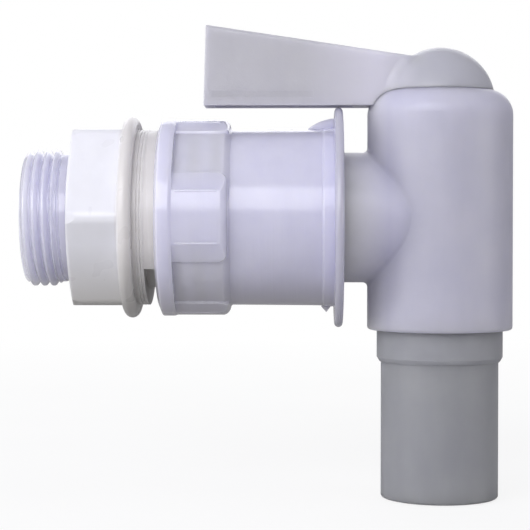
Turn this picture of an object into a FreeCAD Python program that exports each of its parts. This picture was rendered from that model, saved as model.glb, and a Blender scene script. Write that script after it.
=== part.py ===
import FreeCAD, Part
import math
import os

# Lever tap with a hand coupling nut and a threaded hex adapter. Millimetres.
# Origin: centre of the hex adapter's flat left face, on the inlet axis.
# +X runs along the inlet towards the tap, +Z is up, and the spout points down.

V = FreeCAD.Vector
ORIGIN = V(0, 0, 0)
X_AXIS = V(1, 0, 0)
Z_AXIS = V(0, 0, 1)
RUNNING_GAP = 0.08  # radial clearance of every part that turns on another
OVERCUT = 1.0  # how far a cutting tool runs past the solid it cuts
SUNK = 0.5  # how far a rib or boss is sunk into the solid it grows from
SKIN = 0.05  # how far an envelope stays off a surface that it leaves alone
TINY = 1e-6

# Inlet stub: 3/4 inch pipe thread, 14 threads per inch
PIPE_MAJOR_R = 13.22
PIPE_ROOT_R = 12.06
PIPE_PITCH = 1.814
PIPE_FLOOR_WIDTH = 0.3
PIPE_FLANK_DEG = 27.5
PIPE_CREST_AT_TOP = -8.85
STUB_LENGTH = 9.3
STUB_THREAD_END = -2.8
STUB_RELIEF_R = 12.4
STUB_RELIEF_DEPTH = 0.9
STUB_BORE_R = 9.0
STUB_CHAMFER = 0.85
THREAD_RUNOUT = 0.5
SOCKET_DEPTH = 11.0
SOCKET_GAP = 0.04
SOCKET_MOUTH_R = 13.52
SOCKET_MOUTH_DEPTH = 1.5

# White hex adapter
HEX_ACROSS_FLATS = 33.3
HEX_LENGTH = 10.0
HEX_EDGE_ROUND = 2.6
HEX_CORNER_SETBACK = 0.45  # how far the left face falls back at the corners
HEX_FACE_ROUND = 0.7
BEAD_START = 9.65
BEAD_END = 12.3
BEAD_R = 19.4
BEAD_ROUND = (BEAD_END - BEAD_START) / 2 - 0.01
COLLAR_R = 16.9
COLLAR_END = 14.35
LIP_R = 16.8  # plain lip between the collar and the thread, open at the bottom
LIP_END = 15.9
SLIT_END = 16.9
SLIT_FLOOR_R = 13.5
SLIT_HALF_DEG = 55.0
COLLAR_LINES = (13.2, 13.8)
COLLAR_LINE_WIDTH = 0.22
COLLAR_LINE_DEPTH = 0.16
NECK_END = 27.0
NECK_BORE_R = 10.5

# Coarse thread between the adapter's neck and the coupling nut
NECK_MAJOR_R = 16.85
NECK_ROOT_R = 13.6
NECK_PITCH = 4.0
NECK_FLOOR_WIDTH = 1.25
NECK_FLANK_DEG = 10.0
NECK_GROOVE_AT_BOTTOM = 15.15
THREAD_GAP = 0.15  # between crest and root, and between flanks
NECK_END_CHAMFER = 1.2

# Coupling nut
NUT_FACE = 16.4
NUT_FACE_INNER_R = 17.4
NUT_FACE_CONE = 0.65  # how far the face falls back at the rim
RIM_END = 19.8
RIM_R = 19.03
RIM_FACE_ROUND = 0.3
RIM_BACK_CHAMFER = 0.6
RIM_BACK_ROUND = 0.2
LUG_R = 18.83
LUG_END = 30.0
LUG_COUNT = 4
LUG_FLAT_DEG = 15.0
LUG_EDGE_DEG = 27.0
LUG_EDGE_DROP = 0.55
LUG_FOOT_DEG = 29.0
LUG_FOOT_R = 17.3
LUG_END_ROUND = 1.6
LUG_CORNER_ROUND = 1.8
RIDGE_HEIGHT = 0.14  # fine raised line along each long edge of a lug's crown
RIDGE_R = 0.3
RIDGE_START = 20.4
RIDGE_END = 28.2
VALLEY_R = 17.9
VALLEY_END = 29.2
VALLEY_ROUND = 0.6
SLEEVE_START = 30.4
SLEEVE_START_R = 16.88
SLEEVE_R = 17.0
END_BAND_START = 47.6
END_BAND_RISE = 0.4
END_BAND_R = 17.2
FLANGE_START = 50.0
FLANGE_END = 51.6
FLANGE_R = 21.2
FLANGE_ROUND = (FLANGE_END - FLANGE_START) / 2 - 0.01
FLANGE_FOOT_ROUND = 0.3
NUT_THREAD_END = 28.6
NUT_CHAMBER_R = 14.9
NUT_SHOULDER = 49.2
NUT_MOUTH_CHAMFER = 0.5
GUSSET_LENGTH = 5.2
GUSSET_HEIGHT = 2.1
GUSSET_WIDTH = 2.4
GUSSET_CURVE_AT = 0.4  # share of the length where the curve is given its height
GUSSET_CURVE_HEIGHT = 0.62  # share of the height there
NIB_START = 47.5
NIB_LENGTH = 1.8
NIB_HEIGHT = 1.1
NIB_WIDTH = 2.0
NIB_TIP_AT = 0.55  # share of the length where the tip stands

# Coupling gasket
GASKET_THICK = 2.0
GASKET_R = 13.2
GASKET_BORE_R = 9.6

# Tap body: upright housing with the inlet stem
TAP_X = 70.4
BODY_R = 14.0
BODY_BOTTOM = -21.6
BODY_TOP = 24.5
BODY_SHOULDER_ROUND = 4.85
HUB_GAP = 0.06  # between the body's top and shoulder and the lever's hub, which is hollowed to match
BODY_BOTTOM_ROUND = 0.6
BODY_BORE_R = 11.55
BODY_BORE_TOP = 20.1
NECK_HOLE_R = 7.18
STEM_R = 12.55
STEM_BLEND_R = 0.9
STEM_START = NECK_END + GASKET_THICK
STEM_BORE_R = 9.0
STEM_BORE_END = 52.0
STEM_BORE_TAPER = 1.2
STEM_LIP_R = 13.3
STEM_LIP_WIDTH = 2.0
STEM_LIP_ROUND = 0.3
STEM_LIP_TAPER = 0.8
BARB_R = 13.4
BARB_LENGTH = 3.5
BARB_LAND = 0.4
BARB_FACE = 49.1

# Seat seal around the inlet port, inside the body
PORT_R = 6.8
SEAT_START = 57.4
SEAT_OUTER_R = 8.6
SEAT_GAP = 0.02

# Rotary plug with the spout in one piece
PLUG_R = BODY_BORE_R - RUNNING_GAP
PLUG_TOP = 20.0
PLUG_TOP_ROUND = 0.4
PLUG_BOTTOM = BODY_BOTTOM - RUNNING_GAP
PLUG_INNER_R = 8.2
PLUG_CAVITY_TOP = 10.5
PLUG_CAVITY_ROUND = 3.0
PLUG_NECK_R = NECK_HOLE_R - RUNNING_GAP
SPOUT_COLLAR_R = 12.15
SPOUT_COLLAR_END = -27.75
SPOUT_COLLAR_BEVEL = 0.9
SPOUT_COLLAR_INSET = 0.54
SPOUT_COLLAR_ROUND = 0.15
SPOUT_R = 11.33
SPOUT_END = -54.1
SPOUT_END_ROUND = 0.5
SPOUT_BORE_R = 9.4
SPOUT_BORE_TOP = -26.2
SPOUT_BORE_TAPER = 2.0
BOSS_WIDTH = 9.0
BOSS_START = BODY_TOP + HUB_GAP
BOSS_TOP = 30.0
BOSS_BARB = 0.45
BOSS_BARB_HEIGHT = 1.3
BOSS_LEAD = 0.4
BOSS_SOCKET_GAP = 0.05
RING_Z = (14.0, -14.0)
RING_GROOVE_R = 9.6
RING_GROOVE_WIDTH = 2.2
RING_GAP = 0.03
RING_OUTER_R = BODY_BORE_R - RING_GAP

# Quarter-turn stop: a key on the plug in an arc groove under the body's top wall
TURN_LIMIT_DEG = 90.0
KEY_HALF_DEG = 9.0
STOP_SLACK_DEG = 0.6
KEY_INNER_R = 8.0
KEY_OUTER_R = 10.6
KEY_HEIGHT = 1.6
KEY_GAP = 0.12

# Lever handle: domed hub with a hollow arm
DOME_R = 10.55
DOME_CENTRE_Z = 22.15
HUB_BOTTOM = BODY_TOP + HUB_GAP
ARM_END = 24.95
ARM_END_LEAN = 0.4
ARM_BOTTOM = 21.45
ARM_TOP_AT_END = 36.9
ARM_TOP_AT_HUB = 31.0
ARM_HUB_X = TAP_X - 6.2
ARM_HALF_WIDTH = 4.6
ARM_TOP_HALF_WIDTH = 4.1
ARM_EDGE_ROUND = 0.8
ARM_BLEND_R = 3.0
ARM_WALL = 1.8
ARM_POCKET_END = 53.5
BODY_CLEARANCE_R = BODY_R + HUB_GAP
BODY_CLEARANCE_ROUND = BODY_SHOULDER_ROUND + HUB_GAP
GRIP_GROOVE_LENGTH = 19.5
GRIP_GROOVE_START = 26.4
GRIP_GROOVE_BOTTOM = 22.9
GRIP_GROOVE_HEIGHT = 1.3
GRIP_GROOVE_DEPTH = 0.15


def outline(corners):
    """Closed wire in the XZ plane through (x, z) corners. A third number is the radius of that corner."""
    points = [V(c[0], 0, c[1]) for c in corners]
    radii = [c[2] if len(c) > 2 else 0 for c in corners]
    stops = []
    for i, corner in enumerate(points):
        before = (points[i - 1] - corner).normalize()
        after = (points[(i + 1) % len(points)] - corner).normalize()
        if not radii[i]:
            stops.append((corner, None, corner))
            continue
        half = before.getAngle(after) / 2
        reach = radii[i] / math.tan(half)
        middle = (before + after).normalize()
        centre = corner + middle * (radii[i] / math.sin(half))
        stops.append((corner + before * reach, centre - middle * radii[i], corner + after * reach))
    edges = []
    for i, (start, through, end) in enumerate(stops):
        if through:
            edges.append(Part.Arc(start, through, end).toShape())
        following = stops[(i + 1) % len(stops)][0]
        if (following - end).Length > TINY:
            edges.append(Part.makeLine(end, following))
    return Part.Wire(edges)


def turned(corners, axis=X_AXIS):
    """Solid turned from a closed outline: about the X axis, or about the upright tap axis."""
    solid = Part.Face(outline(corners)).revolve(ORIGIN, axis, 360)
    if axis == Z_AXIS:
        solid.translate(V(TAP_X, 0, 0))
    return solid


def rod(radius, start, end):
    """Round bar on the inlet axis."""
    return Part.makeCylinder(radius, end - start, V(start, 0, 0), X_AXIS)


def post(radius, bottom, top):
    """Round bar on the upright tap axis."""
    return Part.makeCylinder(radius, top - bottom, V(TAP_X, 0, bottom), Z_AXIS)


def helical_cutter(start, end, root, major, pitch, floor, flank_deg, at_bottom):
    """Swept trapezoid along a right-hand helix on the inlet axis. It passes the bottom at at_bottom."""
    over = 0.1 * pitch
    half_floor = floor / 2
    half_mouth = half_floor + (major + over - root) * math.tan(math.radians(flank_deg))
    turns_before = math.ceil((at_bottom - start) / pitch) + 1
    first = at_bottom - turns_before * pitch
    height = (math.ceil((end - first) / pitch) + 1) * pitch
    helix = Part.makeLongHelix(pitch, height, root, 0.0)
    corners = [
        V(root, 0, -half_floor),
        V(major + over, 0, -half_mouth),
        V(major + over, 0, half_mouth),
        V(root, 0, half_floor),
    ]
    profile = Part.makePolygon(corners + corners[:1])
    cutter = Part.Wire(helix).makePipeShell([profile], True, True)
    cutter.rotate(ORIGIN, V(0, 1, 0), 90)
    cutter.translate(V(first, 0, 0))
    return cutter


def pipe_thread(start, end, gap=0.0):
    """Bar with the 3/4 inch thread, grown by gap when it is used as the tool for the female thread."""
    cutter = helical_cutter(
        start, end, PIPE_ROOT_R + gap, PIPE_MAJOR_R + gap, PIPE_PITCH,
        PIPE_FLOOR_WIDTH - gap, PIPE_FLANK_DEG, PIPE_CREST_AT_TOP,
    )
    return rod(PIPE_MAJOR_R + gap, start, end).cut(cutter)


def neck_thread(start, end, gap=0.0):
    """Bar with the coarse neck thread, grown by gap when it is the tool for the nut's thread."""
    cutter = helical_cutter(
        start, end, NECK_ROOT_R + gap, NECK_MAJOR_R + gap, NECK_PITCH,
        NECK_FLOOR_WIDTH - 2 * gap, NECK_FLANK_DEG, NECK_GROOVE_AT_BOTTOM,
    )
    return rod(NECK_MAJOR_R + gap, start, end).cut(cutter)


def threaded_nipple():
    """Double-ended threaded tube: one end stands out as the inlet, the other sits in the adapter."""
    body = pipe_thread(-STUB_LENGTH, SOCKET_DEPTH)
    chamfer_r = PIPE_MAJOR_R - STUB_CHAMFER
    outer_r = PIPE_MAJOR_R + SKIN
    envelope = turned([
        (-STUB_LENGTH, 0),
        (-STUB_LENGTH, chamfer_r),
        (-STUB_LENGTH + STUB_CHAMFER, outer_r),
        (STUB_THREAD_END - THREAD_RUNOUT, outer_r),
        (STUB_THREAD_END, STUB_RELIEF_R),
        (STUB_RELIEF_DEPTH, STUB_RELIEF_R),
        (STUB_RELIEF_DEPTH + THREAD_RUNOUT, outer_r),
        (SOCKET_DEPTH - STUB_CHAMFER, outer_r),
        (SOCKET_DEPTH, chamfer_r),
        (SOCKET_DEPTH, 0),
    ])
    bore = rod(STUB_BORE_R, -STUB_LENGTH - OVERCUT, SOCKET_DEPTH + OVERCUT)
    return body.common(envelope).cut(bore)


def hex_head():
    """Six-sided head with flats above and below, rounded edges and a rounded left face."""
    corner_r = HEX_ACROSS_FLATS / math.sqrt(3)
    angles = [math.radians(60 * i) for i in range(6)]
    corners = [V(0, corner_r * math.cos(a), corner_r * math.sin(a)) for a in angles]
    prism = Part.Face(Part.makePolygon(corners + corners[:1])).extrude(V(HEX_LENGTH, 0, 0))
    long_edges = [e for e in prism.Edges if abs(e.tangentAt(e.FirstParameter).x) > 0.99]
    prism = prism.makeFillet(HEX_EDGE_ROUND, long_edges)
    left_edges = [e for e in prism.Edges if e.BoundBox.XMax < TINY]
    prism = prism.makeFillet(HEX_FACE_ROUND, left_edges)
    return prism.common(turned([
        (0, 0),
        (0, HEX_ACROSS_FLATS / 2 - HEX_FACE_ROUND),
        (HEX_CORNER_SETBACK, corner_r - HEX_FACE_ROUND),
        (HEX_LENGTH, corner_r + OVERCUT),
        (HEX_LENGTH, 0),
    ]))


def lip_slit():
    """Cutter for the slit at the bottom, between the collar and the thread."""
    ring = rod(NECK_MAJOR_R + OVERCUT, COLLAR_END, SLIT_END)
    ring = ring.cut(rod(SLIT_FLOOR_R, COLLAR_END - OVERCUT, SLIT_END + OVERCUT))
    depth = NECK_MAJOR_R + 2 * OVERCUT
    half_width = depth * math.tan(math.radians(SLIT_HALF_DEG))
    start = V(COLLAR_END, 0, 0)
    wedge = Part.Face(Part.makePolygon([
        start, V(COLLAR_END, -half_width, -depth), V(COLLAR_END, half_width, -depth), start,
    ]))
    return ring.common(wedge.extrude(V(SLIT_END - COLLAR_END, 0, 0)))


def hex_adapter():
    """Hex head, round bead, collar and threaded neck in one piece, with a female pipe thread."""
    line_half = COLLAR_LINE_WIDTH / 2
    shoulder = [
        (BEAD_START, 0),
        (BEAD_START, BEAD_R, BEAD_ROUND),
        (BEAD_END, BEAD_R, BEAD_ROUND),
        (BEAD_END, COLLAR_R),
    ]
    for x in COLLAR_LINES:
        shoulder += [
            (x - line_half, COLLAR_R),
            (x, COLLAR_R - COLLAR_LINE_DEPTH),
            (x + line_half, COLLAR_R),
        ]
    shoulder += [(COLLAR_END, COLLAR_R), (COLLAR_END, 0)]
    neck_envelope = turned([
        (COLLAR_END, 0),
        (COLLAR_END, NECK_MAJOR_R + SKIN),
        (NECK_END - NECK_END_CHAMFER, NECK_MAJOR_R + SKIN),
        (NECK_END, NECK_MAJOR_R - NECK_END_CHAMFER),
        (NECK_END, 0),
    ])
    neck = neck_thread(COLLAR_END, NECK_END).common(neck_envelope)
    lip = rod(LIP_R, COLLAR_END - SUNK, LIP_END)
    solid = hex_head().fuse([turned(shoulder), neck, lip]).cut(lip_slit())
    mouth = rod(SOCKET_MOUTH_R, -OVERCUT, SOCKET_MOUTH_DEPTH)
    socket = pipe_thread(-OVERCUT, SOCKET_DEPTH, gap=SOCKET_GAP)
    bore = rod(NECK_BORE_R, SOCKET_DEPTH - OVERCUT, NECK_END + OVERCUT)
    return solid.cut(socket).cut(mouth).cut(bore)


def coupling_gasket():
    """Flat rubber washer between the neck's end and the stem."""
    hole = rod(GASKET_BORE_R, NECK_END - OVERCUT, STEM_START + OVERCUT)
    return rod(GASKET_R, NECK_END, STEM_START).cut(hole)


def lug(turn_deg):
    """One wide grip lug: a crowned pad with bevelled sides and a rounded far end."""
    start = RIM_END - SUNK

    def at(radius, degrees):
        a = math.radians(degrees)
        return V(start, radius * math.sin(a), radius * math.cos(a))

    edge_r = LUG_R - LUG_EDGE_DROP
    crown = Part.Arc(at(LUG_R, -LUG_FLAT_DEG), at(LUG_R, 0), at(LUG_R, LUG_FLAT_DEG)).toShape()
    rest = Part.makePolygon([
        at(LUG_R, LUG_FLAT_DEG),
        at(edge_r, LUG_EDGE_DEG),
        at(LUG_FOOT_R, LUG_FOOT_DEG),
        at(LUG_FOOT_R, -LUG_FOOT_DEG),
        at(edge_r, -LUG_EDGE_DEG),
        at(LUG_R, -LUG_FLAT_DEG),
    ])
    pad = Part.Face(Part.Wire([crown] + rest.Edges)).extrude(V(LUG_END - start, 0, 0))
    side_y = edge_r * math.sin(math.radians(LUG_EDGE_DEG)) - SKIN
    far_sides = [e for e in pad.Edges if e.BoundBox.XMin > LUG_END - TINY and abs(e.CenterOfMass.y) > side_y]
    pad = pad.makeFillet(LUG_CORNER_ROUND, far_sides)
    envelope = turned([
        (start, 0),
        (start, LUG_R + SKIN),
        (LUG_END, LUG_R + SKIN, LUG_END_ROUND),
        (LUG_END, 0),
    ])
    ridges = []
    for degrees in (-LUG_FLAT_DEG, LUG_FLAT_DEG):
        base = at(LUG_R + RIDGE_HEIGHT - RIDGE_R, degrees)
        base.x = RIDGE_START
        ridges.append(Part.makeCylinder(RIDGE_R, RIDGE_END - RIDGE_START, base, X_AXIS))
    pad = pad.common(envelope).fuse(ridges)
    pad.rotate(ORIGIN, X_AXIS, turn_deg)
    return pad


def gusset():
    """Curved web at the top, from the sleeve up to the flange."""
    foot = SLEEVE_R - SUNK
    start_x = FLANGE_START - GUSSET_LENGTH
    start = V(start_x, 0, SLEEVE_R - SKIN)
    middle = V(start_x + GUSSET_CURVE_AT * GUSSET_LENGTH, 0, SLEEVE_R + GUSSET_CURVE_HEIGHT * GUSSET_HEIGHT)
    top = V(FLANGE_START + SUNK, 0, SLEEVE_R + GUSSET_HEIGHT)
    web = Part.Wire([
        Part.Arc(start, middle, top).toShape(),
        Part.makeLine(top, V(top.x, 0, foot)),
        Part.makeLine(V(top.x, 0, foot), V(start.x, 0, foot)),
        Part.makeLine(V(start.x, 0, foot), start),
    ])
    web.translate(V(0, -GUSSET_WIDTH / 2, 0))
    return Part.Face(web).extrude(V(0, GUSSET_WIDTH, 0))


def nib():
    """Small moulded tooth at the bottom, beside the flange."""
    foot = -(SLEEVE_R - SUNK)
    end = NIB_START + NIB_LENGTH
    face = Part.Face(Part.makePolygon([
        V(NIB_START, 0, foot),
        V(NIB_START, 0, -END_BAND_R),
        V(NIB_START + NIB_TIP_AT * NIB_LENGTH, 0, -(END_BAND_R + NIB_HEIGHT)),
        V(end, 0, -END_BAND_R),
        V(end, 0, foot),
        V(NIB_START, 0, foot),
    ]))
    tooth = face.extrude(V(0, NIB_WIDTH, 0))
    tooth.translate(V(0, -NIB_WIDTH / 2, 0))
    return tooth


def coupling_nut():
    """Hand nut: threaded rim with four lugs, plain sleeve, and an end flange that runs on the stem."""
    shell = turned([
        (NUT_FACE, 0),
        (NUT_FACE, NUT_FACE_INNER_R),
        (NUT_FACE + NUT_FACE_CONE, RIM_R, RIM_FACE_ROUND),
        (RIM_END - RIM_BACK_CHAMFER, RIM_R, RIM_BACK_ROUND),
        (RIM_END, LUG_R),
        (RIM_END, VALLEY_R),
        (VALLEY_END, VALLEY_R, VALLEY_ROUND),
        (SLEEVE_START, SLEEVE_START_R),
        (END_BAND_START, SLEEVE_R),
        (END_BAND_START + END_BAND_RISE, END_BAND_R),
        (FLANGE_START, END_BAND_R, FLANGE_FOOT_ROUND),
        (FLANGE_START, FLANGE_R, FLANGE_ROUND),
        (FLANGE_END, FLANGE_R, FLANGE_ROUND),
        (FLANGE_END, 0),
    ])
    lugs = [lug(i * 360 / LUG_COUNT) for i in range(LUG_COUNT)]
    solid = shell.fuse(lugs + [gusset(), nib()])
    thread = neck_thread(NUT_FACE - OVERCUT, NUT_THREAD_END, gap=THREAD_GAP)
    mouth_r = NECK_MAJOR_R + NUT_MOUTH_CHAMFER
    mouth = turned([
        (NUT_FACE - OVERCUT, 0),
        (NUT_FACE - OVERCUT, mouth_r),
        (NUT_FACE, mouth_r),
        (NUT_FACE + NUT_MOUTH_CHAMFER, NECK_MAJOR_R),
        (NUT_FACE + NUT_MOUTH_CHAMFER, 0),
    ])
    chamber = rod(NUT_CHAMBER_R, NUT_THREAD_END - OVERCUT, NUT_SHOULDER)
    hole = rod(STEM_R + RUNNING_GAP, NUT_SHOULDER - OVERCUT, FLANGE_END + OVERCUT)
    return solid.cut(thread).cut(mouth).cut(chamber).cut(hole)


def tap_body():
    """Upright housing, open below, with the inlet stem and the seat for its seal."""
    housing = turned([
        (0, BODY_BOTTOM),
        (BODY_R, BODY_BOTTOM, BODY_BOTTOM_ROUND),
        (BODY_R, BODY_TOP, BODY_SHOULDER_ROUND),
        (0, BODY_TOP),
    ], Z_AXIS)
    stem = turned([
        (STEM_START, 0),
        (STEM_START, STEM_LIP_R, STEM_LIP_ROUND),
        (STEM_START + STEM_LIP_WIDTH, STEM_LIP_R),
        (STEM_START + STEM_LIP_WIDTH + STEM_LIP_TAPER, STEM_R),
        (BARB_FACE - BARB_LENGTH, STEM_R),
        (BARB_FACE - BARB_LAND, BARB_R),
        (BARB_FACE, BARB_R),
        (BARB_FACE, STEM_R),
        (TAP_X, STEM_R),
        (TAP_X, 0),
    ])
    solid = housing.fuse(stem)
    solid = solid.makeFillet(STEM_BLEND_R, [e for e in solid.Edges if joins_stem(e)])
    cavity = turned([
        (0, BODY_BOTTOM - OVERCUT),
        (BODY_BORE_R, BODY_BOTTOM - OVERCUT),
        (BODY_BORE_R, BODY_BORE_TOP),
        (NECK_HOLE_R, BODY_BORE_TOP),
        (NECK_HOLE_R, BODY_TOP + OVERCUT),
        (0, BODY_TOP + OVERCUT),
    ], Z_AXIS)
    inlet = turned([
        (STEM_START - OVERCUT, 0),
        (STEM_START - OVERCUT, STEM_BORE_R),
        (STEM_BORE_END, STEM_BORE_R),
        (STEM_BORE_END + STEM_BORE_TAPER, PORT_R),
        (SEAT_START, PORT_R),
        (SEAT_START, SEAT_OUTER_R),
        (TAP_X, SEAT_OUTER_R),
        (TAP_X, 0),
    ])
    sweep = 2 * (TURN_LIMIT_DEG + KEY_HALF_DEG + STOP_SLACK_DEG)
    return solid.cut([cavity, inlet, stop_sector(sweep, KEY_GAP)])


def joins_stem(edge):
    """True for an edge that lies on the stem and on the housing's wall."""
    middle = edge.valueAt((edge.FirstParameter + edge.LastParameter) / 2)
    on_stem = abs(math.hypot(middle.y, middle.z) - STEM_R) < SKIN
    return on_stem and abs(math.hypot(middle.x - TAP_X, middle.y) - BODY_R) < SKIN


def stop_sector(sweep_deg, grow=0.0):
    """Arc block that faces +X on the tap axis: the key itself, or the groove it travels in."""
    bottom = PLUG_TOP - SUNK
    height = KEY_HEIGHT + SUNK + grow
    outer = Part.makeCylinder(KEY_OUTER_R + grow, height, V(TAP_X, 0, bottom), Z_AXIS, sweep_deg)
    inner = post(KEY_INNER_R - grow, bottom - OVERCUT, bottom + height + OVERCUT)
    sector = outer.cut(inner)
    sector.rotate(V(TAP_X, 0, 0), Z_AXIS, -sweep_deg / 2)
    return sector


def inlet_seat_seal():
    """Rubber ring round the inlet port, hollowed to the plug's curve."""
    ring = rod(SEAT_OUTER_R - SEAT_GAP, SEAT_START, TAP_X)
    ring = ring.cut(rod(PORT_R, SEAT_START - OVERCUT, TAP_X + OVERCUT))
    return ring.cut(post(PLUG_R + SEAT_GAP, BODY_BOTTOM, BODY_TOP))


def boss(bottom, gap=0.0):
    """Square drive on the plug, with a snap edge round its head. With a gap it is its socket's tool."""
    width = BOSS_WIDTH + 2 * gap
    wide = width + 2 * BOSS_BARB
    top = BOSS_TOP + gap
    head_height = BOSS_BARB_HEIGHT + 2 * gap
    square = Part.makeBox(width, width, top - bottom, V(TAP_X - width / 2, -width / 2, bottom))
    head = Part.makeBox(wide, wide, head_height, V(TAP_X - wide / 2, -wide / 2, top - head_height))
    lead = [e for e in head.Edges if e.BoundBox.ZMin > top - TINY]
    return square.fuse(head.makeChamfer(BOSS_LEAD, lead))


def rotary_plug():
    """Hollow plug with a side port, ring grooves and the spout, turning in the body."""
    groove_half = RING_GROOVE_WIDTH / 2
    upper, lower = RING_Z
    barrel = turned([
        (0, SPOUT_END),
        (SPOUT_R, SPOUT_END, SPOUT_END_ROUND),
        (SPOUT_R, SPOUT_COLLAR_END),
        (SPOUT_COLLAR_R - SPOUT_COLLAR_INSET, SPOUT_COLLAR_END),
        (SPOUT_COLLAR_R, SPOUT_COLLAR_END + SPOUT_COLLAR_BEVEL),
        (SPOUT_COLLAR_R, PLUG_BOTTOM, SPOUT_COLLAR_ROUND),
        (PLUG_R, PLUG_BOTTOM),
        (PLUG_R, lower - groove_half),
        (RING_GROOVE_R, lower - groove_half),
        (RING_GROOVE_R, lower + groove_half),
        (PLUG_R, lower + groove_half),
        (PLUG_R, upper - groove_half),
        (RING_GROOVE_R, upper - groove_half),
        (RING_GROOVE_R, upper + groove_half),
        (PLUG_R, upper + groove_half),
        (PLUG_R, PLUG_TOP, PLUG_TOP_ROUND),
        (PLUG_NECK_R, PLUG_TOP),
        (PLUG_NECK_R, BOSS_START),
        (0, BOSS_START),
    ], Z_AXIS)
    cavity = turned([
        (0, SPOUT_END - OVERCUT),
        (SPOUT_BORE_R, SPOUT_END - OVERCUT),
        (SPOUT_BORE_R, SPOUT_BORE_TOP),
        (PLUG_INNER_R, SPOUT_BORE_TOP + SPOUT_BORE_TAPER),
        (PLUG_INNER_R, PLUG_CAVITY_TOP, PLUG_CAVITY_ROUND),
        (0, PLUG_CAVITY_TOP),
    ], Z_AXIS)
    port = rod(PORT_R, TAP_X - BODY_R, TAP_X)
    solid = barrel.fuse([boss(BOSS_START - SUNK), stop_sector(2 * KEY_HALF_DEG)])
    return solid.cut([cavity, port])


def plug_ring(z):
    """Rubber O-ring in its groove on the plug, a hair inside the body's bore."""
    section_r = (RING_OUTER_R - RING_GROOVE_R) / 2
    return Part.makeTorus(RING_GROOVE_R + section_r, section_r, V(TAP_X, 0, z), Z_AXIS)


def arm_top(x):
    """Height of the arm's sloping top at x."""
    run = (x - ARM_END) / (ARM_HUB_X - ARM_END)
    return ARM_TOP_AT_END + run * (ARM_TOP_AT_HUB - ARM_TOP_AT_END)


def arm_blank(inset=0.0, end=TAP_X):
    """Tapered arm seen from the side, with slightly drafted sides; inset shrinks it for the pocket."""
    left = ARM_END + inset
    bottom = ARM_BOTTOM if not inset else ARM_BOTTOM - OVERCUT
    sections = []
    for x in (left, end):
        lean = ARM_END_LEAN if x == left else 0
        top = arm_top(x) - inset
        low_half = ARM_HALF_WIDTH - inset
        top_half = ARM_TOP_HALF_WIDTH - inset
        sections.append(Part.makePolygon([
            V(x, -low_half, bottom), V(x + lean, -top_half, top),
            V(x + lean, top_half, top), V(x, low_half, bottom), V(x, -low_half, bottom),
        ]))
    return Part.makeLoft(sections, True, True)


def lever_handle():
    """Domed hub and hollow arm, blended together, with a square socket for the plug's boss."""
    dome = Part.makeSphere(DOME_R, V(TAP_X, 0, DOME_CENTRE_Z))
    dome = dome.common(post(DOME_R + OVERCUT, ARM_BOTTOM, DOME_CENTRE_Z + DOME_R + OVERCUT))
    arm = arm_blank()
    long_edges = [e for e in arm.Edges if e.BoundBox.XLength > ARM_HALF_WIDTH]
    top_edges = [e for e in long_edges if e.BoundBox.ZMin > DOME_CENTRE_Z]
    arm = arm.makeFillet(ARM_EDGE_ROUND, top_edges)
    solid = arm.fuse(dome)
    seam = [e for e in solid.Edges if joins_dome(e)]
    solid = solid.makeFillet(ARM_BLEND_R, seam)
    clearance = turned([
        (0, BODY_BOTTOM),
        (BODY_CLEARANCE_R, BODY_BOTTOM),
        (BODY_CLEARANCE_R, HUB_BOTTOM, BODY_CLEARANCE_ROUND),
        (0, HUB_BOTTOM),
    ], Z_AXIS)
    socket = boss(BOSS_START - OVERCUT, gap=BOSS_SOCKET_GAP)
    pocket = arm_blank(ARM_WALL, ARM_POCKET_END)
    return solid.cut([clearance, socket, pocket] + grip_grooves())


def joins_dome(edge):
    """True for an edge that lies on the dome and on the arm's skin."""
    centre = V(TAP_X, 0, DOME_CENTRE_Z)
    middle = edge.valueAt((edge.FirstParameter + edge.LastParameter) / 2)
    on_dome = abs((middle - centre).Length - DOME_R) < SKIN
    return on_dome and middle.x < TAP_X - SKIN and middle.z > ARM_BOTTOM + SKIN


def grip_grooves():
    """Long shallow groove low on each side of the arm."""
    grooves = []
    for side in (-1, 1):
        inner = side * (ARM_HALF_WIDTH - GRIP_GROOVE_DEPTH)
        outer = side * (ARM_HALF_WIDTH + OVERCUT)
        grooves.append(Part.makeBox(
            GRIP_GROOVE_LENGTH, abs(outer - inner), GRIP_GROOVE_HEIGHT,
            V(GRIP_GROOVE_START, min(inner, outer), GRIP_GROOVE_BOTTOM),
        ))
    return grooves


NODES = {
    "threaded_nipple": threaded_nipple,
    "hex_adapter": hex_adapter,
    "coupling_gasket": coupling_gasket,
    "coupling_nut": coupling_nut,
    "tap_body": tap_body,
    "inlet_seat_seal": inlet_seat_seal,
    "rotary_plug": rotary_plug,
    "upper_o_ring": lambda: plug_ring(RING_Z[0]),
    "lower_o_ring": lambda: plug_ring(RING_Z[1]),
    "lever_handle": lever_handle,
}

os.makedirs("parts", exist_ok=True)
for name, build in NODES.items():
    shape = build()
    solid = shape.Solids[0] if len(shape.Solids) == 1 else shape
    print(name, solid.ShapeType, len(shape.Solids), solid.isValid(), round(solid.Volume, 1))
    solid.exportStep("parts/" + name + ".step")
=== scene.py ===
import math

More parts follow.
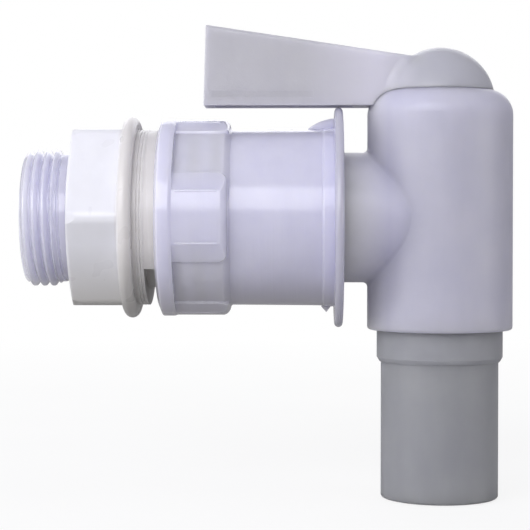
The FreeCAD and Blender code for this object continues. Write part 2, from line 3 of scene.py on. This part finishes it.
import bpy
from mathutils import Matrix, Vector


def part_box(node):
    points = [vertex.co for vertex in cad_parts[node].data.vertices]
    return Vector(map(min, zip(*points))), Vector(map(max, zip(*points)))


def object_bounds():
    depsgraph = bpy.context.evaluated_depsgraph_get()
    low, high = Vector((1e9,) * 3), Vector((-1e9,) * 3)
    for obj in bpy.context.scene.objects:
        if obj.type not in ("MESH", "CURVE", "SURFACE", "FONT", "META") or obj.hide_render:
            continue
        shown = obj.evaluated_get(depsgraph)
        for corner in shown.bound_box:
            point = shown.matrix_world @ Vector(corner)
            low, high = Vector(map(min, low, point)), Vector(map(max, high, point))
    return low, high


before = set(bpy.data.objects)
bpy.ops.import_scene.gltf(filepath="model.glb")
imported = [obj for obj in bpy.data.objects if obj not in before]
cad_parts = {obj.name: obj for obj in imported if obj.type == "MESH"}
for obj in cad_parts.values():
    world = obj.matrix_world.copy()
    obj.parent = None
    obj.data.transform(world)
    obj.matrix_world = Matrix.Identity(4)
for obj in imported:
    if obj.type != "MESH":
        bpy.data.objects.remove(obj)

# A container tap of moulded plastic. The CAD nodes are its visible pieces, so this script gives each of
# them a material, and adds the floor, the light and the camera.

MM = 0.001
CAD_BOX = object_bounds()
CENTRE = (CAD_BOX[0] + CAD_BOX[1]) / 2
FLOOR_Z = CAD_BOX[0].z

# Places along the inlet axis X, in millimetres from the seat on the container.
HEX_END = 9.7
FLANGE_THICKNESS = 1.6
FLANGE_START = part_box("coupling_nut")[1].x / MM - FLANGE_THICKNESS
PLUG_AXIS = (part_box("rotary_plug")[0].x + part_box("rotary_plug")[1].x) / 2 / MM


# ---------------------------------------------------------------- node helpers

class Graph:
    """A material's or world's node tree, with short calls that add and join nodes."""

    def __init__(self, owner):
        owner.use_nodes = True
        self.tree = owner.node_tree
        self.tree.nodes.clear()

    def add(self, kind, settings=None, **inputs):
        """New node. Keyword names are input names with underscores; values may be sockets or numbers."""
        node = self.tree.nodes.new("ShaderNode" + kind)
        for key, value in (settings or {}).items():
            setattr(node, key, value)
        for key, value in inputs.items():
            self.put(node.inputs[key.replace("_", " ")], value)
        return node

    def put(self, socket, value):
        """Joins a socket to this input, or sets its number."""
        if isinstance(value, bpy.types.NodeSocket):
            self.tree.links.new(value, socket)
        else:
            socket.default_value = value

    def put_all(self, node, values):
        """Fills the node's first inputs in their order, and gives its first output."""
        for socket, value in zip(node.inputs, values):
            self.put(socket, value)
        return node.outputs[0]

    def math(self, operation, a, b):
        return self.put_all(self.add("Math", {"operation": operation}), (a, b))

    def remap(self, value, low, high, to_low=0.0, to_high=1.0):
        """Moves the range low..high to to_low..to_high, and stays in it."""
        return self.put_all(self.add("MapRange"), (value, low, high, to_low, to_high))

    def blend(self, share, a, b):
        """Shader a where share is 0, shader b where it is 1."""
        return self.put_all(self.add("MixShader"), (share, a, b))

    def mix(self, share, a, b):
        """Colour a where share is 0, colour b where it is 1."""
        node = self.add("Mix", {"data_type": "RGBA"})
        colour_sockets = [socket for socket in node.inputs if socket.type == "RGBA"]
        self.put(node.inputs[0], share)
        self.put(colour_sockets[0], a)
        self.put(colour_sockets[1], b)
        return next(socket for socket in node.outputs if socket.type == "RGBA")

    def place(self, stretch=(1, 1, 1)):
        """Object coordinates in millimetres, stretched along the axes."""
        coords = self.add("TexCoord").outputs["Object"]
        scale = [1 / MM * s for s in stretch]
        return self.add("Mapping", Vector=coords, Scale=scale).outputs[0]

    def noise(self, size, detail, seed, stretch=(1, 1, 1)):
        """Noise 0..1 whose blobs measure about size millimetres."""
        node = self.add(
            "TexNoise", {"noise_dimensions": "4D"},
            Vector=self.place(stretch), W=seed, Scale=1 / size, Detail=detail, Roughness=0.55,
        )
        return node.outputs[0]

    def output(self, shader, kind="OutputMaterial"):
        self.put(self.add(kind).inputs["Surface"], shader)


def linear(red, green, blue):
    """Scene-linear colour of an sRGB colour given as 0..255."""
    out = []
    for value in (red, green, blue):
        v = value / 255
        out.append(v / 12.92 if v <= 0.04045 else ((v + 0.055) / 1.055) ** 2.4)
    return (*out, 1.0)


# ---------------------------------------------------------------- moulded plastic, in layers

def cloudy_colour(g, base, cloudy, seed):
    """Faint clouds and upright flow streaks in the moulding."""
    clouds = g.noise(9.0, 2.0, seed)
    streaks = g.noise(3.0, 2.0, seed + 1, stretch=(1, 1, 0.25))
    patch = g.math("ADD", g.math("MULTIPLY", clouds, 0.65), g.math("MULTIPLY", streaks, 0.35))
    return g.mix(g.remap(patch, 0.35, 0.65), base, cloudy)


def zoned_colour(g, colour, zones):
    """Tone that fades to another from start to end along an axis, in millimetres."""
    for axis, start, end, tone in zones:
        along = g.add("SeparateXYZ", Vector=g.place()).outputs[axis]
        colour = g.mix(g.remap(along, start, end), colour, tone)
    return colour


def worn_and_highlit_edges(g, seed):
    """Near 1 in patches along the moulding's edges, 0 on its faces. It marks edge wear and a painted edge
    highlight.
    """
    edge_width = 0.35 * MM
    rounded = g.add("Bevel", {"samples": 4}, Radius=edge_width).outputs[0]
    flat = g.add("NewGeometry").outputs["Normal"]
    agreement = g.add("VectorMath", {"operation": "DOT_PRODUCT"})
    g.put_all(agreement, (rounded, flat))
    edge = g.remap(agreement.outputs["Value"], 0.995, 0.9)
    patches = g.remap(g.noise(1.6, 3.0, seed + 2), 0.35, 0.6)
    return g.math("MULTIPLY", edge, patches)


def relief(g, grain, ring_marks, seed):
    """Bump of fine grain, slight waviness and turning marks round X. Heights are in millimetres."""
    waviness = 0.03
    height = g.math("MULTIPLY", g.noise(0.6, 1.0, seed + 4), grain)
    height = g.math("ADD", height, g.math("MULTIPLY", g.noise(7.0, 1.0, seed + 5), waviness))
    if ring_marks:
        rings = g.noise(0.5, 1.0, seed + 6, stretch=(1, 0.02, 0.02))
        height = g.math("ADD", height, g.math("MULTIPLY", rings, ring_marks))
    return g.add("Bump", Height=height, Strength=1.0, Distance=MM).outputs[0]


def moulded(name, tones, gloss, depth, seed, opacity=0.0, grain=0.012, ring_marks=0.0, coat=0.0, zones=()):
    """Injection-moulded plastic.

    tones: colours of the base, its cloudier patches and its edges, lighter for wear and as a painted
    highlight
    gloss: roughness of the smoothest and the roughest places
    depth: how far light travels inside, in millimetres
    opacity: 0 lets all light in, 1 none
    zones: (axis, start, end, colour), as in zoned_colour
    """
    material = bpy.data.materials.new(name)
    g = Graph(material)
    base, cloudy, edge_wear_and_highlight_tone = tones
    edges = worn_and_highlit_edges(g, seed)
    colour = zoned_colour(g, cloudy_colour(g, base, cloudy, seed), zones)
    # Lighter edges: partly wear, partly a painted highlight.
    colour = g.mix(g.math("MULTIPLY", edges, 0.4), colour, edge_wear_and_highlight_tone)
    rubbed = g.remap(g.noise(4.0, 1.0, seed + 3), 0.2, 0.8, *gloss)
    shader = g.add(
        "BsdfPrincipled",
        Base_Color=colour,
        Roughness=g.math("ADD", rubbed, g.math("MULTIPLY", edges, 0.1)),
        IOR=1.5,
        Normal=relief(g, grain, ring_marks, seed),
        Subsurface_Weight=1.0 - opacity,
        Subsurface_Radius=(depth, depth, depth * 1.08),
        Subsurface_Scale=MM,
        Coat_Weight=coat,
        Coat_Roughness=0.1,
    )
    g.output(shader.outputs[0])
    return material


# ---------------------------------------------------------------- the materials

def white_plastic():
    """Opaque white polyolefin of the hex adapter. Painted shade makes its bead and neck darker and warmer,
    and its lower part darker towards the bottom.
    """
    tones = linear(237, 237, 242), linear(231, 231, 236), linear(246, 246, 249)
    # Painted shade: the bead and neck are made darker and warmer.
    neck = ("X", HEX_END - 0.5, HEX_END + 0.5, linear(222, 219, 217))
    # Painted shade: darker towards the bottom.
    underside = ("Z", -5.0, -17.0, linear(190, 188, 184))
    return moulded(
        "white_moulding", tones, gloss=(0.24, 0.38), depth=1.2, seed=3.0, opacity=0.6,
        ring_marks=0.008, zones=(neck, underside),
    )


def glossy_natural(name, depth, seed, ring_marks, zones=()):
    """Milky translucent polyethylene with a polished skin."""
    tones = linear(215, 214, 236), linear(208, 207, 230), linear(226, 227, 242)
    return moulded(
        name, tones, gloss=(0.13, 0.24), depth=depth, seed=seed,
        ring_marks=ring_marks, coat=0.3, zones=zones,
    )


def nipple_plastic():
    return glossy_natural("nipple_moulding", depth=10.0, seed=7.0, ring_marks=0.004)


def nut_plastic():
    """The coupling nut, with painted shade: darker towards the bottom, and darker and greyer on its thin
    end flange.
    """
    # Painted shade: darker towards the bottom.
    underside = ("Z", -10.0, -19.0, linear(200, 198, 206))
    # Painted shade: the end flange is made darker and greyer.
    flange = ("X", FLANGE_START - 0.3, FLANGE_START + 0.2, linear(176, 175, 186))
    return glossy_natural("nut_moulding", depth=4.0, seed=11.0, ring_marks=0.02, zones=(underside, flange))


def body_plastic():
    """Milky polyethylene with a duller skin. Painted light makes the stem paler than the upright housing.
    """
    tones = linear(202, 200, 228), linear(194, 193, 221), linear(222, 221, 241)
    # Painted light: the stem is made paler.
    stem = ("X", PLUG_AXIS - 10.4, PLUG_AXIS - 17.4, linear(232, 231, 245))
    return moulded("body_moulding", tones, gloss=(0.30, 0.44), depth=12.0, seed=15.0, zones=(stem,))


def plug_plastic():
    """Greyer, duller polyethylene of the plug and its spout."""
    tones = linear(160, 161, 166), linear(153, 154, 160), linear(176, 177, 182)
    return moulded("plug_moulding", tones, gloss=(0.34, 0.48), depth=12.0, seed=21.0)


def lever_plastic():
    """Slightly grey polyethylene of the handle. A painted highlight makes the arm palest where it joins
    the hub.
    """
    tones = linear(189, 188, 193), linear(183, 182, 188), linear(208, 207, 216)
    # Painted highlight: the arm is made paler where it joins the hub.
    root = ("X", PLUG_AXIS - 26.4, PLUG_AXIS - 13.4, linear(208, 206, 216))
    hub = ("X", PLUG_AXIS - 11.4, PLUG_AXIS - 4.4, linear(182, 182, 190))
    return moulded("lever_moulding", tones, gloss=(0.26, 0.4), depth=3.0, seed=31.0, zones=(root, hub))


def seal_rubber():
    """Pale matt silicone of the gasket, the seat seal and the O-rings."""
    tones = linear(206, 204, 200), linear(196, 194, 190), linear(216, 214, 210)
    return moulded(
        "seal_silicone", tones, gloss=(0.55, 0.72), depth=1.5, seed=41.0, opacity=0.2, grain=0.03,
    )


def dress():
    """Gives every CAD node its material."""
    seal = seal_rubber()
    looks = {
        "threaded_nipple": nipple_plastic(),
        "hex_adapter": white_plastic(),
        "coupling_gasket": seal,
        "coupling_nut": nut_plastic(),
        "tap_body": body_plastic(),
        "inlet_seat_seal": seal,
        "rotary_plug": plug_plastic(),
        "upper_o_ring": seal,
        "lower_o_ring": seal,
        "lever_handle": lever_plastic(),
    }
    for node, material in looks.items():
        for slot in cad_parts[node].material_slots:
            slot.material = material


# ---------------------------------------------------------------- floor, dome and lights

def floor_paper():
    """Nearly white to the camera, and dim to the object.

    It fades to the white of the background with distance, and the camera sees through it from below.
    """
    shadow_share = 0.15
    fade_start, fade_end = 0.08, 0.45
    material = bpy.data.materials.new("floor_paper")
    g = Graph(material)
    paper = g.mix(g.noise(60.0, 3.0, 50.0), (0.975, 0.975, 0.975, 1), (1.0, 1.0, 1.0, 1))
    lit = g.add("BsdfDiffuse", Color=paper).outputs[0]
    glow = g.add("Emission", Color=paper, Strength=1.0).outputs[0]
    near = g.blend(shadow_share, glow, lit)
    far = g.add("Emission").outputs[0]
    distance = g.add("VectorMath", {"operation": "LENGTH"}, Vector=g.add("TexCoord").outputs["Object"])
    top = g.blend(g.remap(distance.outputs["Value"], fade_start, fade_end), near, far)
    from_below = g.add("NewGeometry").outputs["Backfacing"]
    seen = g.blend(from_below, top, g.add("BsdfTransparent").outputs[0])
    dim = g.add("BsdfDiffuse", Color=(0.45, 0.445, 0.43, 1)).outputs[0]
    g.output(g.blend(g.add("LightPath").outputs["Is Camera Ray"], dim, seen))
    return material


def add_floor():
    """Plain pale floor just under the spout."""
    half_width = 1.5
    gap = 0.2 * MM
    corners = [(-1, -1), (1, -1), (1, 1), (-1, 1)]
    mesh = bpy.data.meshes.new("floor")
    mesh.from_pydata([(x * half_width, y * half_width, 0) for x, y in corners], [], [(0, 1, 2, 3)])
    mesh.materials.append(floor_paper())
    floor = bpy.data.objects.new("floor", mesh)
    floor.location = (CENTRE.x, CENTRE.y, FLOOR_Z - gap)
    bpy.context.collection.objects.link(floor)


def add_world():
    """White to the camera, and a soft dome that is bright above and dim below for the object."""
    below = (0.27, 0.27, 0.28, 1)
    above = (0.46, 0.46, 0.50, 1)
    white = (1, 1, 1, 1)
    world = bpy.data.worlds.new("studio")
    bpy.context.scene.world = world
    g = Graph(world)
    up = g.add("SeparateXYZ", Vector=g.add("TexCoord").outputs["Generated"]).outputs["Z"]
    dome = g.mix(g.remap(up, -0.4, 0.9), below, above)
    shown = g.mix(g.add("LightPath").outputs["Is Camera Ray"], dome, white)
    background = g.add("Background", Color=shown, Strength=1.0)
    g.output(background.outputs[0], "OutputWorld")


def add_light(name, azimuth, elevation, distance, size, power, colour):
    """Soft rectangular light aimed at the object's centre, in degrees, metres and watts.

    Azimuth 0 is on the camera's side, and it grows towards the camera's left.
    """
    data = bpy.data.lights.new(name, "AREA")
    data.shape = "RECTANGLE"
    data.size, data.size_y = size
    data.energy = power
    data.color = colour
    light = bpy.data.objects.new(name, data)
    a, e = math.radians(azimuth), math.radians(elevation)
    away = Vector((-math.sin(a) * math.cos(e), -math.cos(a) * math.cos(e), math.sin(e)))
    light.location = CENTRE + away * distance
    light.rotation_euler = away.to_track_quat("Z", "Y").to_euler()
    bpy.context.collection.objects.link(light)


def add_lights():
    add_light("key", 22, 26, distance=0.8, size=(0.68, 0.44), power=3.8, colour=(0.955, 0.955, 1.0))
    add_light("left_fill", 62, 12, distance=0.9, size=(0.6, 0.6), power=2.8, colour=(0.97, 0.97, 1.0))
    add_light("right_fill", -70, 0, distance=0.9, size=(0.5, 0.5), power=1.9, colour=(1.0, 0.99, 0.97))
    add_light("back_fill", 180, 25, distance=1.0, size=(0.9, 0.6), power=2.2, colour=(0.98, 0.98, 1.0))


# ---------------------------------------------------------------- camera

def add_camera():
    """Camera a little above the object's middle, and square to its side within two degrees."""
    position = CENTRE + Vector((7.45, -327.0, 7.5)) * MM
    target = CENTRE + Vector((-0.95, 0.0, -0.6)) * MM
    field_width = 102.75 * MM
    data = bpy.data.cameras.new("camera")
    data.sensor_width = 36.0
    toward = target - position
    data.lens = data.sensor_width * abs(toward.y) / field_width
    data.clip_start = 0.01
    camera = bpy.data.objects.new("camera", data)
    camera.location = position
    camera.rotation_euler = toward.to_track_quat("-Z", "Y").to_euler()
    bpy.context.collection.objects.link(camera)
    bpy.context.scene.camera = camera


dress()
add_floor()
add_world()
add_lights()
add_camera()
bpy.context.scene.view_settings.view_transform = "Standard"
